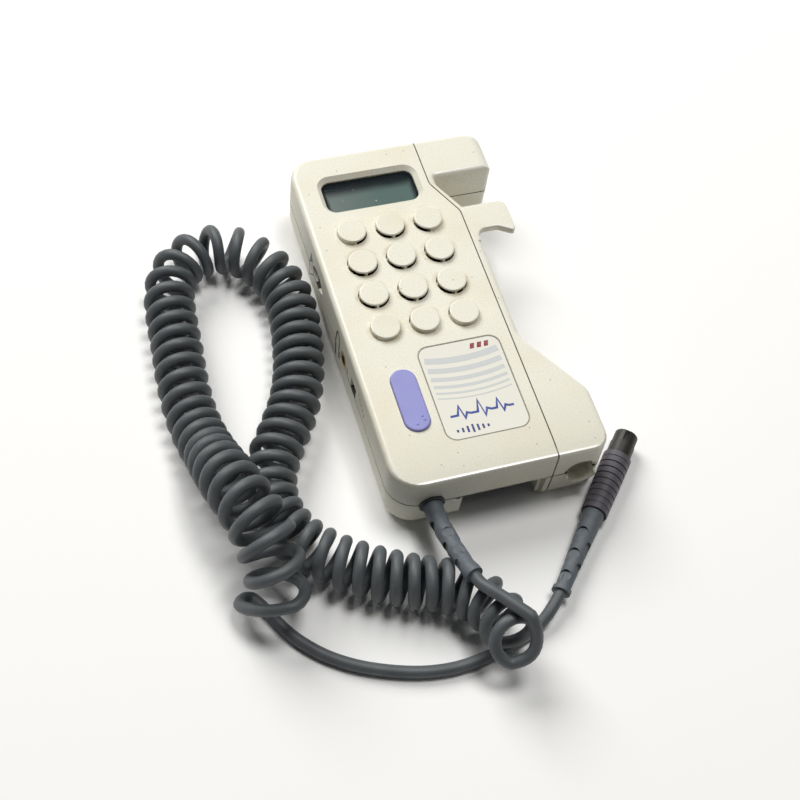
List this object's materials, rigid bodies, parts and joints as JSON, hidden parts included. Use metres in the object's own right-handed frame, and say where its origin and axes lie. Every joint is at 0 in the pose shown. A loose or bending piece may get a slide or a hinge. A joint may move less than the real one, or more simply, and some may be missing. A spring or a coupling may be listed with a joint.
{
  "type": "handheld ultrasound doppler",
  "caption": "Hand-held ultrasound doppler with a capped loudspeaker grille, display window, power key, probe holder and a curly probe lead ending in a push-pull connector.",
  "frame": {"origin": "middle of the rear face's bounding rectangle, on the surface the unit lies on", "axes": "+X to the right seen from the front, +Y towards the display end, +Z out of the front face"},
  "size_m": [0.1549, 0.2014, 0.0369],
  "materials": {
    "shell_plastic": "moulded ABS, ivory, fine satin texture",
    "window_plastic": "clear polycarbonate, polished",
    "lcd_glass": "display glass, grey-green",
    "black_plastic": "moulded plastic, black",
    "key_plastic": "moulded key, lavender, satin",
    "switch_plastic": "moulded plastic, off-white",
    "label_film": "printed polyester film, satin",
    "cloth": "acoustic cloth, black",
    "steel": "zinc-plated steel",
    "cone_paper": "pulp cone, black",
    "ferrite": "sintered ferrite, dark grey",
    "laminate": "glass-epoxy laminate with green resist",
    "gold": "gold-plated brass",
    "battery_sleeve": "plain printed steel jacket, dark blue-grey",
    "red_wire": "PVC insulated wire",
    "cord_rubber": "polyurethane cable jacket, dark grey, satin",
    "relief_rubber": "moulded PVC strain relief, grey",
    "connector_plastic": "moulded polyamide, dark grey",
    "barrel_plastic": "moulded PPS, near black"
  },
  "bodies": {
    "root": {"front_shell": "shell_plastic", "rear_shell": "shell_plastic", "holder_front": "shell_plastic", "holder_rear": "shell_plastic", "display_window": "window_plastic", "lcd_panel": "lcd_glass", "lcd_frame": "black_plastic", "lcd_connector": "black_plastic", "power_switch": "black_plastic", "label_plate": "label_film", "dust_cloth": "cloth", "speaker_frame": "steel", "speaker_cone": "cone_paper", "speaker_magnet": "ferrite", "main_board": "laminate", "board_chips": "black_plastic", "volume_pot": "black_plastic", "headphone_jack": "black_plastic", "jack_ring": "gold", "data_socket": "black_plastic", "battery": "battery_sleeve", "battery_snap": "black_plastic", "snap_contacts": "steel", "battery_leads": "red_wire", "housing_screws": "steel", "board_screws": "steel", "cable_gland": "black_plastic", "inner_lead": "cord_rubber", "lead_header": "switch_plastic", "gland_relief": "relief_rubber", "near_lead": "cord_rubber", "curly_lead": "cord_rubber", "tail_lead": "cord_rubber", "connector_relief": "relief_rubber", "connector_body": "connector_plastic", "connector_barrel": "barrel_plastic", "contact_insert": "barrel_plastic", "contact_pins": "gold"},
    "key": {"power_key": "key_plastic", "switch_stem": "switch_plastic"},
    "wheel": {"volume_wheel": "black_plastic"},
    "sleeve": {"connector_sleeve": "connector_plastic"}
  },
  "joints": [
    {"name": "power_key_press", "type": "slide", "parent": "root", "child": "key", "axis": [0, 0, -1], "range_m": [0, 0.0008], "stiffness_N_per_m": 2000},
    {"name": "volume_turn", "type": "hinge", "parent": "root", "child": "wheel", "pos_m": [-0.0285, 0.023, 0.0166], "axis": [0, 0, 1], "range_deg": [-150, 150]},
    {"name": "sleeve_slide", "type": "slide", "parent": "root", "child": "sleeve", "axis": [-0.6494, -0.7604, 0], "range_m": [0, 0.002], "stiffness_N_per_m": 1500}
  ]
}
